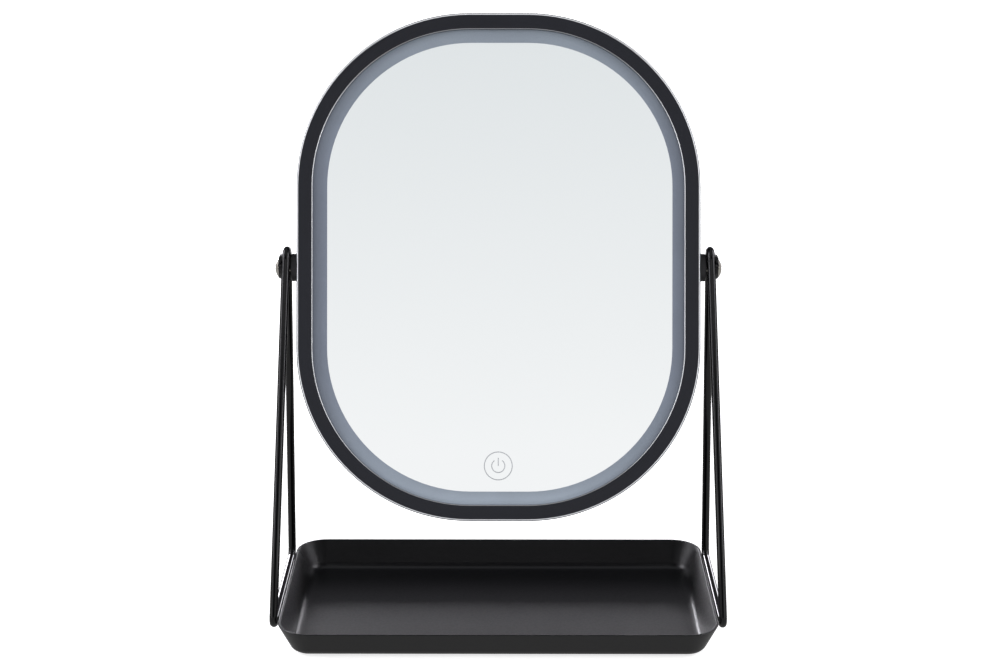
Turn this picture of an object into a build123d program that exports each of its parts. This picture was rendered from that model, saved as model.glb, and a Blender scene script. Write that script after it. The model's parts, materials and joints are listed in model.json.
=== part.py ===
from build123d import *
from math import atan2, cos, radians, sin
import os

os.makedirs("parts", exist_ok=True)

# Lighted tilting vanity mirror on wire side frames over an open tray.
# Millimetres. +Z up, -Y towards the user, origin on the table under the middle of the tray.

# ---- driving dimensions: tray -------------------------------------------------------------
tray_depth = 125.2          # over the rim, front to back
tray_height = 15.0          # rim above the underside
tray_corner_r = 16.0        # plan radius of the rim's corners
tray_wall_lean = 27.0       # walls from the vertical, degrees
tray_bottom_r = 6.0         # outer radius between wall and floor
tray_sheet = 1.2            # sheet thickness
rim_soft = 0.3              # rounding of the cut edge of the sheet
foot_d = 10.0
foot_t = 1.0
foot_inset_x = 26.0         # pad centre in from the rim
foot_inset_y = 22.35

# ---- driving dimensions: wire side frames --------------------------------------------------
wire_d = 4.2
rail_drop = 1.9             # wire centre of the bottom rail below the rim
leg_front_y = -48.6         # corner of front leg and rail
leg_rear_y = 45.2           # corner of rear leg and rail
frame_lean_in = 6.95        # how far the frame leans inwards from rail to pivot
apex_y = 0.7                # where the two legs' lines would meet
apex_above_pivot = 25.2
apex_bend_r = 4.85          # centreline radius round the pivot
foot_bend_r = 4.0           # centreline radius at the rail's ends

# ---- driving dimensions: pivots ------------------------------------------------------------
pivot_y = 0.5
pivot_z = 189.0
pivot_depth = 7.0           # pivot axis behind the bezel's face
plate_w = 14.0              # pivot plate, front to back
plate_h = 11.6
plate_t = 1.0
plate_rise = 0.6            # plate centre above the pivot axis
plate_straight = 0.6        # short straight left between its rounded ends
plate_gap = 0.25            # plate to the leaning wire, filled by the weld
screw_d = 4.0
screw_head_d = 10.3
screw_head_h = 2.3
screw_head_rim = 0.5        # straight edge of the dome head
screw_slot_w = 0.9
screw_slot_l = 4.8
screw_slot_deep = 1.3
turning_gap = 0.08          # radial clearance of the screw in the plate
face_gap = 0.10             # side clearance between turning and standing faces
wire_gap = 0.45             # spacer face to the leaning wire
spacer_d = 14.0
spacer_l = 2.9              # head's side to the spacer's face
spacer_bore_gap = 0.2
spacer_soft = 0.5
insert_d = 6.4
insert_gap = 0.03           # radial, insert in its block
thread_gap = 0.05           # radial, screw in the insert
block_half_h = 5.5          # pivot block up and down from the axis
block_gap = 0.4             # pivot block to the glass edge

# ---- driving dimensions: head --------------------------------------------------------------
head_lean = 16.5            # the head leans back at rest, degrees
face_width = 200.0          # flat face of the bezel
face_height = 252.0
face_corner_r = 85.5
edge_r = 1.4                # rounded outer edge round the flat face
ring_width = 6.8            # bezel from the flat face's edge to its opening
lip_depth = 3.0             # bezel face to the front of the glass
lip_soft = 1.0              # rounding at the opening
side_wall = 1.8
frame_depth = 12.2          # bezel face to the rear edge of its side wall
head_depth = 14.0           # bezel face to the back of the rear cover
cover_seam = 0.1
cover_edge_r = 1.2
glass_t = 3.0
glass_overlap = 2.0         # glass behind the lip
glass_seam = 0.3            # polished seam on the glass edge
band_width = 6.35           # etched light band between opening and mirror
silver_t = 0.1
silver_shift_x = 0.65       # the silvered area sits a little to the right in its frame
layer_gap = 0.1             # between stacked inner layers

# ---- driving dimensions: light ring and inner pan -------------------------------------------
diffuser_t = 1.5
diffuser_overlap = 0.7      # diffuser beyond the opening's edge
light_gap = 0.8             # diffuser to the top of the diodes
led_t = 0.8
led_w = 2.8
led_l = 3.5
led_count = 48
led_board_t = 1.0
pan_t = 1.2
pan_wall = 1.2
notch_l = 3.6               # lead notch across the pan's wall
notch_over = 0.3            # notch past the pan's top
ring_in = 0.8               # light ring's inner edge in from the silvering's edge
foam_t = 0.96
foam_w = 18.0
foam_l = 120.0
foam_spread = 56.0

# ---- driving dimensions: rear cover, screws -------------------------------------------------
post_d = 5.0
post_inset = 2.5            # post centre in from the flat face's edge
post_angles = (24.0, 66.0)
post_hole_gap = 0.05
cover_screw_d = 2.2
cover_screw_l = 6.0
cover_screw_head_d = 4.2
cover_screw_head_h = 0.9
cover_screw_gap = 0.2       # round the screw and its head in the cover
cover_screw_slot_w = 0.6
cover_screw_slot_l = 2.4
cover_screw_slot_deep = 0.5

# ---- driving dimensions: battery bay ---------------------------------------------------------
cell_d = 10.5               # AAA cell
cell_l = 44.5
cell_nub_d = 3.8
cell_nub_l = 0.8
cell_soft = 0.6
cell_count = 4
cell_pitch = 11.1
cell_gap = 0.2              # cells to floor and to door
bay_rise = -4.0             # bay centre from the pivot axis
bay_side_gap = 0.75
bay_wall = 1.2
bay_floor_gap = 0.3         # bay floor to the inner pan
bay_floor = 1.0
bay_corner_r = 1.5
plate_contact_t = 0.4
plate_contact_gap = 0.05
plate_contact_in = 1.5      # contact plate narrower than a cell, front to back
plate_contact_apart = 1.8   # between neighbouring contact plates
spring_room = 4.2
spring_wire = 0.6
spring_r = 2.8
spring_turns = 3
hump_side = 5.5             # hump beyond the bay, each side
hump_end = 4.0              # hump beyond the bay, top and bottom
hump_corner_r = 8.0
hump_edge_r = 1.6
hump_wall = 1.8
hump_skin = 1.1             # cover left under the door's ledge
door_t = 1.6
door_edge_r = 1.28          # rounded lower edge under the thumb
door_ledge = 2.2            # door beyond the bay, each side
door_top_in = 2.6           # door's top edge below the hump's top
door_gap = 0.3              # sliding clearance of the door
tongue_w = 1.0              # door tongue in its groove
tongue_t = 0.6
tongue_gap = 0.15
grip_count = 5
grip_w = 1.0
grip_pitch = 2.4
grip_l = 18.0
grip_deep = 0.45
grip_from_bottom = 6.0

# ---- driving dimensions: control board -------------------------------------------------------
touch_from_edge = 26.3      # touch mark above the face's lower edge
board_w = 34.0
board_h = 22.0
board_t = 1.0
board_corner_r = 1.0
board_rise = 4.0            # board centre above the touch mark
touch_spring_r = 2.6
touch_spring_wire = 0.5
touch_hole_d = 8.0
chip_w = 5.0
chip_h = 4.0
chip_t = 1.4
chip_x = -8.0
chip_below = 4.0            # under the board's centre
coil_d = 4.4
coil_t = 1.8
coil_x = 9.0
coil_below = 5.0
plug_w = 7.0
plug_h = 4.5
plug_t = 2.0
plug_above = 2.0
battery_lead_d = 1.2
battery_lead_x = 7.0
battery_lead_in = 3.0       # how much the leads close in on the way down
battery_lead_bend_r = 12.0
battery_lead_over = 3.0     # lead's end over the control board
led_lead_d = 0.9
led_lead_x = 1.6
led_lead_reach = 2.0        # lead's end over the light board

# ---- worked-out places ------------------------------------------------------------------------
side_x = face_width / 2 + edge_r
inner_wall_x = side_x - side_wall
spacer_end_x = side_x + spacer_l
pivot_wire_x = spacer_end_x + wire_gap + wire_d / 2
rail_x = pivot_wire_x + frame_lean_in
tray_width = 2 * (rail_x - wire_d / 2)      # the rim fills the space between the two frames
rim_z = foot_t + tray_height
rail_z = rim_z - rail_drop
lean = radians(head_lean)
head_up = Vector(0, sin(lean), cos(lean))
head_front = Vector(0, -cos(lean), sin(lean))
head_back = -head_front
pivot_point = Vector(0, pivot_y, pivot_z)
head_plane = Plane(origin=pivot_point, x_dir=(1, 0, 0), z_dir=head_front)
front_axis = Axis(pivot_point, head_front)
up_axis = Axis(pivot_point, head_up)

glass_back = lip_depth + glass_t
silver_back = glass_back + silver_t
diffuser_front = silver_back + layer_gap
diffuser_back = diffuser_front + diffuser_t
led_front = diffuser_back + light_gap
led_back = led_front + led_t
led_board_back = led_back + led_board_t
pan_flange_front = led_board_back + layer_gap
pan_flange_back = pan_flange_front + pan_t
cover_front = frame_depth + cover_seam
pan_top_front = silver_back + foam_t + layer_gap
pan_top_back = pan_top_front + pan_t
silver_inset = ring_width + band_width
light_ring_out = ring_width - diffuser_overlap
light_ring_in = silver_inset + ring_in

bay_floor_front = pan_top_back + bay_floor_gap
bay_floor_back = bay_floor_front + bay_floor
cell_axis_depth = bay_floor_back + cell_gap + cell_d / 2
door_front = cell_axis_depth + cell_d / 2 + cell_gap
door_back = door_front + door_t
bay_w = (cell_count - 1) * cell_pitch + cell_d + 2 * bay_side_gap
bay_l = cell_l + spring_room + 2 * (plate_contact_t + 2 * plate_contact_gap)
hump_w = bay_w + 2 * hump_side
hump_h = bay_l + 2 * hump_end
door_w = bay_w + 2 * door_ledge
door_top = hump_h / 2 - door_top_in
door_l = door_top + hump_h / 2

touch_drop = face_height / 2 - touch_from_edge
board_front = pan_top_back + layer_gap
board_back = board_front + board_t
board_y = board_rise - touch_drop


# ---- shared shapes --------------------------------------------------------------------------------
def at_depth(depth):
    """Plane parallel to the mirror's face, this far behind the bezel's face, looking forwards."""
    return head_plane.offset(pivot_depth - depth)


def side_plane(x):
    """Plane across the pivot axis: its own X runs back through the head, its own Y runs up it."""
    return Plane(origin=(x, pivot_y, pivot_z), x_dir=head_back, z_dir=(1, 0, 0))


def stand_plane(x):
    """Plane across the pivot axis, square to the table: its own X runs back, its own Y up."""
    return Plane(origin=(x, pivot_y, pivot_z), x_dir=(0, 1, 0), z_dir=(1, 0, 0))


def axis_profile_plane(x):
    """Plane through the pivot axis: its own X is the radius, its own Y runs outwards along +X."""
    return Plane(origin=(x, pivot_y, pivot_z), x_dir=(0, 0, 1), z_dir=(0, 1, 0))


def head_outline(grow, shift_x=0, mode=Mode.ADD):
    """The face's rounded outline, grown by this much, in the sketch in hand."""
    with Locations((shift_x, 0)):
        RectangleRounded(
            face_width + 2 * grow, face_height + 2 * grow, face_corner_r + grow, mode=mode
        )


def outline_ring(outer, inner):
    """Ring between two inset outlines of the face, in the sketch in hand."""
    head_outline(-outer)
    head_outline(-inner, mode=Mode.SUBTRACT)


def post_places():
    """Places of the cover's screw posts on the head's four corner arcs."""
    places = []
    radius = face_corner_r - post_inset
    for side in (-1, 1):
        for end in (-1, 1):
            centre_x = side * (face_width / 2 - face_corner_r)
            centre_y = end * (face_height / 2 - face_corner_r)
            for angle in post_angles:
                across = radius * cos(radians(angle))
                along = radius * sin(radians(angle))
                places.append((centre_x + side * across, centre_y + end * along))
    return places


def save(builder, name):
    """Label a finished piece and write it."""
    builder.part.label = name
    export_step(builder.part, f"parts/{name}.step")


def save_pair(builder, name):
    """Write the right-hand piece and its mirror image on the left."""
    save(builder, f"{name}_right")
    with BuildPart() as other_hand:
        mirror(builder.part, about=Plane.YZ)
    save(other_hand, f"{name}_left")


# ---- tray -----------------------------------------------------------------------------------------
wall_across = tray_sheet / cos(radians(tray_wall_lean))     # wall measured level

with BuildPart() as tray:
    with BuildSketch(Plane.XY.offset(rim_z)):
        RectangleRounded(tray_width, tray_depth, tray_corner_r)
    extrude(amount=-tray_height, taper=tray_wall_lean)
    fillet(tray.faces().sort_by(Axis.Z)[0].edges(), radius=tray_bottom_r)
    with BuildSketch(Plane.XY.offset(rim_z)):
        RectangleRounded(
            tray_width - 2 * wall_across, tray_depth - 2 * wall_across, tray_corner_r - wall_across
        )
    extrude(amount=-(tray_height - tray_sheet), taper=tray_wall_lean, mode=Mode.SUBTRACT)
    tray_floor = tray.faces().filter_by(Plane.XY).group_by(Axis.Z)[1]
    fillet(tray_floor.edges(), radius=tray_bottom_r - tray_sheet)
    fillet(tray.faces().sort_by(Axis.Z)[-1].edges(), radius=rim_soft)
save(tray, "tray")

with BuildPart() as tray_feet:
    with BuildSketch():
        with GridLocations(tray_width - 2 * foot_inset_x, tray_depth - 2 * foot_inset_y, 2, 2):
            Circle(foot_d / 2)
    extrude(amount=foot_t)
save(tray_feet, "tray_feet")

# ---- wire side frames -----------------------------------------------------------------------------
rail_to_pivot = pivot_z - rail_z
frame_angle = atan2(frame_lean_in, rail_to_pivot)
apex_height = (rail_to_pivot + apex_above_pivot) / cos(frame_angle)
frame_plane = Plane(
    origin=(rail_x, 0, rail_z), x_dir=(0, 1, 0), z_dir=(cos(frame_angle), 0, sin(frame_angle))
)

with BuildPart() as wire_frame:
    with BuildLine(frame_plane) as wire_path:
        FilletPolyline(
            (leg_front_y, 0),
            (apex_y, apex_height),
            (leg_rear_y, 0),
            radius=[foot_bend_r, apex_bend_r, foot_bend_r],
            close=True,
        )
    path = wire_path.wire()
    with BuildSketch(Plane(origin=path.position_at(0), z_dir=path.tangent_at(0))):
        Circle(wire_d / 2)
    sweep(path=path)
save_pair(wire_frame, "wire_frame")

# ---- pivot plates, spacers, inserts and screws ----------------------------------------------------
plate_x = pivot_wire_x + wire_d / 2 + plate_gap
screw_seat_x = plate_x + plate_t + face_gap
block_inner_x = face_width / 2 - (ring_width - glass_overlap) + block_gap
screw_tip_x = block_inner_x

with BuildPart() as pivot_plate:
    with BuildSketch(stand_plane(plate_x)):
        with Locations((0, plate_rise)):
            RectangleRounded(plate_w, plate_h, plate_h / 2 - plate_straight)
        Circle(screw_d / 2 + turning_gap, mode=Mode.SUBTRACT)
    extrude(amount=plate_t)
save_pair(pivot_plate, "pivot_plate")

with BuildPart() as pivot_spacer:
    with BuildSketch(side_plane(side_x)):
        Circle(spacer_d / 2)
        Circle(screw_d / 2 + spacer_bore_gap, mode=Mode.SUBTRACT)
    extrude(amount=spacer_l)
    outer_rim = pivot_spacer.faces().sort_by(Axis.X)[-1].outer_wire()
    chamfer(outer_rim.edges(), length=spacer_soft)
save_pair(pivot_spacer, "pivot_spacer")

with BuildPart() as pivot_insert:
    with BuildSketch(side_plane(block_inner_x)):
        Circle(insert_d / 2)
        Circle(screw_d / 2 + thread_gap, mode=Mode.SUBTRACT)
    extrude(amount=side_x - block_inner_x)
save_pair(pivot_insert, "pivot_insert")

with BuildPart() as pivot_screw:
    with BuildSketch(axis_profile_plane(screw_seat_x)):
        with BuildLine():
            Line((0, 0), (screw_head_d / 2, 0))
            Line((screw_head_d / 2, 0), (screw_head_d / 2, screw_head_rim))
            TangentArc((0, screw_head_h), (screw_head_d / 2, screw_head_rim), tangent=(1, 0))
            Line((0, screw_head_h), (0, 0))
        make_face()
    revolve(axis=Axis(pivot_point, (1, 0, 0)))
    with BuildSketch(side_plane(screw_seat_x)):
        Circle(screw_d / 2)
    extrude(amount=-(screw_seat_x - screw_tip_x))
    with BuildSketch(side_plane(screw_seat_x + screw_head_h)):
        Rectangle(screw_slot_l, screw_slot_w)
        Rectangle(screw_slot_w, screw_slot_l)
    extrude(amount=-screw_slot_deep, mode=Mode.SUBTRACT)
save_pair(pivot_screw, "pivot_screw")

# ---- front frame ----------------------------------------------------------------------------------
with BuildPart() as front_frame:
    with BuildSketch(at_depth(frame_depth)):
        head_outline(edge_r)
    extrude(amount=frame_depth)
    fillet(front_frame.faces().sort_by(front_axis)[-1].edges(), radius=edge_r)
    with BuildSketch(at_depth(frame_depth)):
        head_outline(edge_r - side_wall)
    extrude(amount=frame_depth - lip_depth, mode=Mode.SUBTRACT)
    with BuildSketch(at_depth(frame_depth)):
        head_outline(-ring_width)
    extrude(amount=frame_depth, mode=Mode.SUBTRACT)
    face_ring = front_frame.faces().sort_by(front_axis)[-1]
    fillet(face_ring.inner_wires()[0].edges(), radius=lip_soft)
    # pivot blocks inside the side walls
    with BuildSketch(at_depth(frame_depth)):
        Rectangle(2 * inner_wall_x + side_wall, 2 * block_half_h)
        Rectangle(2 * block_inner_x, 2 * block_half_h, mode=Mode.SUBTRACT)
    extrude(amount=frame_depth - lip_depth)
    with BuildSketch(side_plane(-side_x)):
        Circle(insert_d / 2 + insert_gap)
    extrude(amount=2 * side_x, mode=Mode.SUBTRACT)
    # screw posts behind the glass
    with BuildSketch(at_depth(frame_depth)):
        with Locations(*post_places()):
            Circle(post_d / 2)
    extrude(amount=frame_depth - silver_back)
    with BuildSketch(at_depth(frame_depth)):
        with Locations(*post_places()):
            Circle(cover_screw_d / 2 + post_hole_gap)
    extrude(amount=cover_screw_l, mode=Mode.SUBTRACT)
save(front_frame, "front_frame")

# ---- glass and what lies on its back --------------------------------------------------------------
with BuildPart() as mirror_glass:
    with BuildSketch(at_depth(glass_back)):
        head_outline(-(ring_width - glass_overlap))
    extrude(amount=glass_t)
    chamfer(mirror_glass.faces().sort_by(front_axis)[-1].edges(), length=glass_seam)
save(mirror_glass, "mirror_glass")

with BuildPart() as mirror_silvering:
    with BuildSketch(at_depth(silver_back)):
        head_outline(-silver_inset, shift_x=silver_shift_x)
    extrude(amount=silver_t)
save(mirror_silvering, "mirror_silvering")

with BuildPart() as diffuser_ring:
    with BuildSketch(at_depth(diffuser_back)):
        outline_ring(light_ring_out, light_ring_in)
    extrude(amount=diffuser_t)
save(diffuser_ring, "diffuser_ring")

with BuildPart() as led_board:
    with BuildSketch(at_depth(led_board_back)):
        outline_ring(light_ring_out, light_ring_in)
    extrude(amount=led_board_t)
save(led_board, "led_board")

with BuildSketch(at_depth(led_back)) as led_line:
    head_outline(-(light_ring_out + light_ring_in) / 2)
led_path = led_line.sketch.wires()[0]
led_planes = []
for step in range(led_count):
    along = (step + 0.5) / led_count
    led_planes.append(
        Plane(
            origin=led_path.position_at(along), x_dir=led_path.tangent_at(along), z_dir=head_front
        )
    )

with BuildPart() as leds:
    with BuildSketch(*led_planes):
        Rectangle(led_l, led_w)
    extrude(amount=led_t)
save(leds, "leds")

with BuildPart() as reflector_tray:
    with BuildSketch(at_depth(pan_flange_back)):
        head_outline(-light_ring_out)
    extrude(amount=pan_t)
    with BuildSketch(at_depth(pan_flange_back)):
        head_outline(-light_ring_in - layer_gap)
    extrude(amount=pan_flange_back - pan_top_front)
    with BuildSketch(at_depth(pan_flange_back)):
        head_outline(-light_ring_in - layer_gap - pan_wall)
    extrude(amount=pan_flange_back - pan_top_back, mode=Mode.SUBTRACT)
    # way through for the touch spring, and a notch for the light ring's leads
    with BuildSketch(at_depth(pan_flange_back)):
        with Locations((0, -touch_drop)):
            Circle(touch_hole_d / 2)
    extrude(amount=pan_flange_back, mode=Mode.SUBTRACT)
    notch_middle = -face_height / 2 + light_ring_in + pan_wall / 2
    with BuildSketch(at_depth(pan_flange_front)):
        with Locations((0, notch_middle)):
            Rectangle(2 * (led_lead_x + led_lead_d), notch_l)
    extrude(amount=pan_flange_front - pan_top_back + notch_over, mode=Mode.SUBTRACT)
save(reflector_tray, "reflector_tray")

with BuildPart() as foam_pads:
    with BuildSketch(at_depth(silver_back + foam_t)):
        with GridLocations(foam_spread, 0, 3, 1):
            Rectangle(foam_w, foam_l)
    extrude(amount=foam_t)
save(foam_pads, "foam_pads")

# ---- rear cover with the battery bay --------------------------------------------------------------
with BuildPart() as rear_cover:
    with BuildSketch(at_depth(head_depth)):
        head_outline(edge_r)
    extrude(amount=head_depth - cover_front)
    fillet(rear_cover.faces().sort_by(front_axis)[0].edges(), radius=cover_edge_r)
    # raised back of the bay
    with BuildSketch(at_depth(door_back)):
        with Locations((0, bay_rise)):
            RectangleRounded(hump_w, hump_h, hump_corner_r)
    extrude(amount=door_back - cover_front)
    hump_back = rear_cover.faces().sort_by(front_axis)[0]
    fillet(hump_back.edges(), radius=hump_edge_r)
    # cup of the bay, reaching forwards behind the mirror
    with BuildSketch(at_depth(cover_front)):
        with Locations((0, bay_rise)):
            RectangleRounded(bay_w + 2 * bay_wall, bay_l + 2 * bay_wall, bay_corner_r + bay_wall)
    extrude(amount=cover_front - bay_floor_front)
    # hollow between the cup and the raised back's own wall
    hollow_back = door_front - hump_skin
    with BuildSketch(at_depth(hollow_back)):
        with Locations((0, bay_rise)):
            RectangleRounded(
                hump_w - 2 * hump_wall, hump_h - 2 * hump_wall, hump_corner_r - hump_wall
            )
            RectangleRounded(
                bay_w + 2 * bay_wall,
                bay_l + 2 * bay_wall,
                bay_corner_r + bay_wall,
                mode=Mode.SUBTRACT,
            )
    extrude(amount=hollow_back - cover_front, mode=Mode.SUBTRACT)
    # the bay itself
    with BuildSketch(at_depth(door_back)):
        with Locations((0, bay_rise)):
            RectangleRounded(bay_w, bay_l, bay_corner_r)
    extrude(amount=door_back - bay_floor_back, mode=Mode.SUBTRACT)
    # seat of the door, open at the bottom, and its two grooves
    seat_w = door_w + 2 * door_gap
    seat_l = door_l + door_gap
    seat_y = bay_rise + door_top + door_gap - (seat_l + door_gap) / 2
    with BuildSketch(at_depth(door_back)):
        with Locations((0, seat_y)):
            Rectangle(seat_w, seat_l + door_gap)
    extrude(amount=door_t + layer_gap, mode=Mode.SUBTRACT)
    tongue_back = door_front + (door_t + tongue_t) / 2
    with BuildSketch(at_depth(tongue_back + tongue_gap)):
        with Locations((0, seat_y)):
            Rectangle(seat_w + 2 * tongue_w, seat_l + door_gap)
    extrude(amount=tongue_t + 2 * tongue_gap, mode=Mode.SUBTRACT)
    # screw holes with seats for the heads
    with BuildSketch(at_depth(head_depth)):
        with Locations(*post_places()):
            Circle(cover_screw_d / 2 + cover_screw_gap)
    extrude(amount=head_depth - cover_front, mode=Mode.SUBTRACT)
    with BuildSketch(at_depth(head_depth)):
        with Locations(*post_places()):
            Circle(cover_screw_head_d / 2 + cover_screw_gap)
    extrude(amount=cover_screw_head_h + layer_gap, mode=Mode.SUBTRACT)
save(rear_cover, "rear_cover")

screw_head_front = head_depth - layer_gap
with BuildPart() as cover_screws:
    with BuildSketch(at_depth(screw_head_front)):
        with Locations(*post_places()):
            Circle(cover_screw_head_d / 2)
    extrude(amount=cover_screw_head_h)
    with BuildSketch(at_depth(screw_head_front)):
        with Locations(*post_places()):
            Circle(cover_screw_d / 2)
    extrude(amount=cover_screw_l)
    with BuildSketch(at_depth(screw_head_front)):
        with Locations(*post_places()):
            Rectangle(cover_screw_slot_l, cover_screw_slot_w)
            Rectangle(cover_screw_slot_w, cover_screw_slot_l)
    extrude(amount=cover_screw_slot_deep, mode=Mode.SUBTRACT)
save(cover_screws, "cover_screws")

with BuildPart() as battery_door:
    door_y = bay_rise + door_top - door_l / 2
    with BuildSketch(at_depth(door_back)):
        with Locations((0, door_y)):
            Rectangle(door_w, door_l)
    extrude(amount=door_t)
    low_edge = battery_door.faces().sort_by(up_axis)[0].edges().sort_by(front_axis)[0]
    fillet(low_edge, radius=door_edge_r)
    with BuildSketch(at_depth(tongue_back)):
        with Locations((0, door_y + grip_w)):
            Rectangle(door_w + 2 * tongue_w, door_l - 2 * grip_w)
    extrude(amount=tongue_t)
    grip_y = bay_rise - hump_h / 2 + grip_from_bottom + grip_pitch * (grip_count - 1) / 2
    with BuildSketch(at_depth(door_back)):
        with Locations((0, grip_y)):
            with GridLocations(0, grip_pitch, 1, grip_count):
                SlotOverall(grip_l, grip_w)
    extrude(amount=grip_deep, mode=Mode.SUBTRACT)
save(battery_door, "battery_door")

# ---- cells and their contacts ---------------------------------------------------------------------
bay_top = bay_l / 2
plate_face = bay_top - plate_contact_gap - plate_contact_t
cell_xs = [cell_pitch * (i - (cell_count - 1) / 2) for i in range(cell_count)]
cell_points_up = [i % 2 == 0 for i in range(cell_count)]


def along_bay(x, up):
    """Plane across the bay's length at this place, looking up the head."""
    origin = at_depth(cell_axis_depth).from_local_coords((x, bay_rise + up, 0))
    return Plane(origin=origin, x_dir=(1, 0, 0), z_dir=head_up)


for number, (cell_x, points_up) in enumerate(zip(cell_xs, cell_points_up), start=1):
    way = 1 if points_up else -1
    nub_tip = way * (plate_face - plate_contact_gap)
    shoulder = nub_tip - way * cell_nub_l
    with BuildPart() as battery_cell:
        with BuildSketch(along_bay(cell_x, shoulder)):
            Circle(cell_d / 2)
        extrude(amount=-way * (cell_l - cell_nub_l))
        fillet(battery_cell.edges().filter_by(GeomType.CIRCLE), radius=cell_soft)
        with BuildSketch(along_bay(cell_x, shoulder)):
            Circle(cell_nub_d / 2)
        extrude(amount=way * cell_nub_l)
    save(battery_cell, f"battery_cell_{number}")

plate_deep = cell_d - plate_contact_in
single_w = cell_pitch - plate_contact_apart
double_w = single_w + cell_pitch
with BuildPart() as contact_plates:
    with BuildSketch(along_bay(0, plate_face)):
        with Locations((cell_xs[0] + cell_pitch / 2, 0), (cell_xs[2] + cell_pitch / 2, 0)):
            Rectangle(double_w, plate_deep)
    extrude(amount=plate_contact_t)
    with BuildSketch(along_bay(0, -plate_face)):
        with Locations((cell_xs[1] + cell_pitch / 2, 0)):
            Rectangle(double_w, plate_deep)
        with Locations((cell_xs[0], 0), (cell_xs[-1], 0)):
            Rectangle(single_w, plate_deep)
    extrude(amount=-plate_contact_t)
save(contact_plates, "contact_plates")


def coil_spring(plane, length, radius, wire, turns):
    """Open coil spring standing on this plane."""
    coil_h = length - wire
    with BuildPart() as spring:
        with BuildLine() as coil:
            Helix(pitch=coil_h / turns, height=coil_h, radius=radius, center=(0, 0, wire / 2))
        start = coil.line
        with BuildSketch(Plane(origin=start @ 0, z_dir=start % 0)):
            Circle(wire / 2)
        sweep(path=start, is_frenet=True)
    return plane.from_local_coords(spring.part)


spring_l = 2 * plate_face - cell_l - 2 * plate_contact_gap - plate_contact_gap
with BuildPart() as contact_springs:
    for cell_x, points_up in zip(cell_xs, cell_points_up):
        way = 1 if points_up else -1
        base = along_bay(cell_x, -way * plate_face)
        seat = Plane(origin=base.origin, x_dir=(1, 0, 0), z_dir=head_up * way)
        add(coil_spring(seat, spring_l, spring_r, spring_wire, spring_turns))
save(contact_springs, "contact_springs")

# ---- control board, touch spring and leads --------------------------------------------------------
with BuildPart() as control_board:
    with BuildSketch(at_depth(board_back)):
        with Locations((0, board_y)):
            RectangleRounded(board_w, board_h, board_corner_r)
    extrude(amount=board_t)
save(control_board, "control_board")

with BuildPart() as board_components:
    for width, height, thick, place in (
        (chip_w, chip_h, chip_t, (chip_x, board_y - chip_below)),
        (coil_d, coil_d, coil_t, (coil_x, board_y - coil_below)),
        (plug_w, plug_h, plug_t, (0, board_y + plug_above)),
    ):
        with BuildSketch(at_depth(board_back + thick)):
            with Locations(place):
                Rectangle(width, height)
        extrude(amount=thick)
save(board_components, "board_components")

touch_seat = at_depth(board_front).from_local_coords((0, -touch_drop, 0))
touch_plane = Plane(origin=touch_seat, x_dir=(1, 0, 0), z_dir=head_front)
with BuildPart() as touch_spring:
    add(
        coil_spring(
            touch_plane, board_front - silver_back, touch_spring_r, touch_spring_wire, spring_turns
        )
    )
save(touch_spring, "touch_spring")

battery_lead_depth = board_back + battery_lead_d / 2 + layer_gap / 2
lead_top = bay_rise - bay_l / 2 - bay_wall - layer_gap
lead_low = board_y + board_h / 2 - battery_lead_over
lead_step = (lead_top - lead_low) / 3       # straight, slanted and straight thirds
with BuildPart() as battery_leads:
    for side in (-1, 1):
        outer_x = side * battery_lead_x
        inner_x = side * (battery_lead_x - battery_lead_in)
        with BuildLine(at_depth(battery_lead_depth)) as lead_line:
            FilletPolyline(
                (outer_x, lead_top),
                (outer_x, lead_top - lead_step),
                (inner_x, lead_top - 2 * lead_step),
                (inner_x, lead_low),
                radius=battery_lead_bend_r,
            )
        lead = lead_line.wire()
        with BuildSketch(Plane(origin=lead @ 0, z_dir=lead % 0)):
            Circle(battery_lead_d / 2)
        sweep(path=lead)
save(battery_leads, "battery_leads")

led_lead_depth = pan_top_back + (led_lead_d + layer_gap / 2) / 2
led_lead_top = board_y - board_h / 2 - layer_gap
led_lead_low = -face_height / 2 + light_ring_in - led_lead_reach
with BuildPart() as led_leads:
    for side in (-1, 1):
        top = at_depth(led_lead_depth).from_local_coords((side * led_lead_x, led_lead_top, 0))
        with BuildSketch(Plane(origin=top, z_dir=-head_up)):
            Circle(led_lead_d / 2)
        extrude(amount=led_lead_top - led_lead_low)
save(led_leads, "led_leads")
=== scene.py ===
import json
import math

import bmesh
import bpy
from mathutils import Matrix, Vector


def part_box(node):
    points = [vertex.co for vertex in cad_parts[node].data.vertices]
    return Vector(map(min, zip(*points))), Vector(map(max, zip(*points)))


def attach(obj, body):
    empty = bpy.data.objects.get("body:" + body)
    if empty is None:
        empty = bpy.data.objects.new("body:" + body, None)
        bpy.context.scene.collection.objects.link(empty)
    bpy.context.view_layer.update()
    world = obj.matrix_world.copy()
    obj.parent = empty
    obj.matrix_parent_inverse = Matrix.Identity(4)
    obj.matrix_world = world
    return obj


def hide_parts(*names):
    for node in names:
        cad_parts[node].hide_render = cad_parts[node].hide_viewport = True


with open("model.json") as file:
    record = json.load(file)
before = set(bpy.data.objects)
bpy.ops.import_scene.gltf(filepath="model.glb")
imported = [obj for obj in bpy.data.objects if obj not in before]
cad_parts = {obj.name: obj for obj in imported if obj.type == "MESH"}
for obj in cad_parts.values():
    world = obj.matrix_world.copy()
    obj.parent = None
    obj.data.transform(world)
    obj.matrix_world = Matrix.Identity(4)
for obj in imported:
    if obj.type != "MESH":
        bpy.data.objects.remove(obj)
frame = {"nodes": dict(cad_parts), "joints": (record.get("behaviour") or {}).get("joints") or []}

bl_info = {
    "name": "Lighted vanity mirror",
    "version": (1, 0, 0),
    "blender": (4, 5, 0),
    "location": "View3D > Sidebar > Vanity mirror",
    "description": "Dresses the tilting vanity mirror and its tray, and sets its studio stage",
    "category": "Object",
}

MM = 0.001

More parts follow.
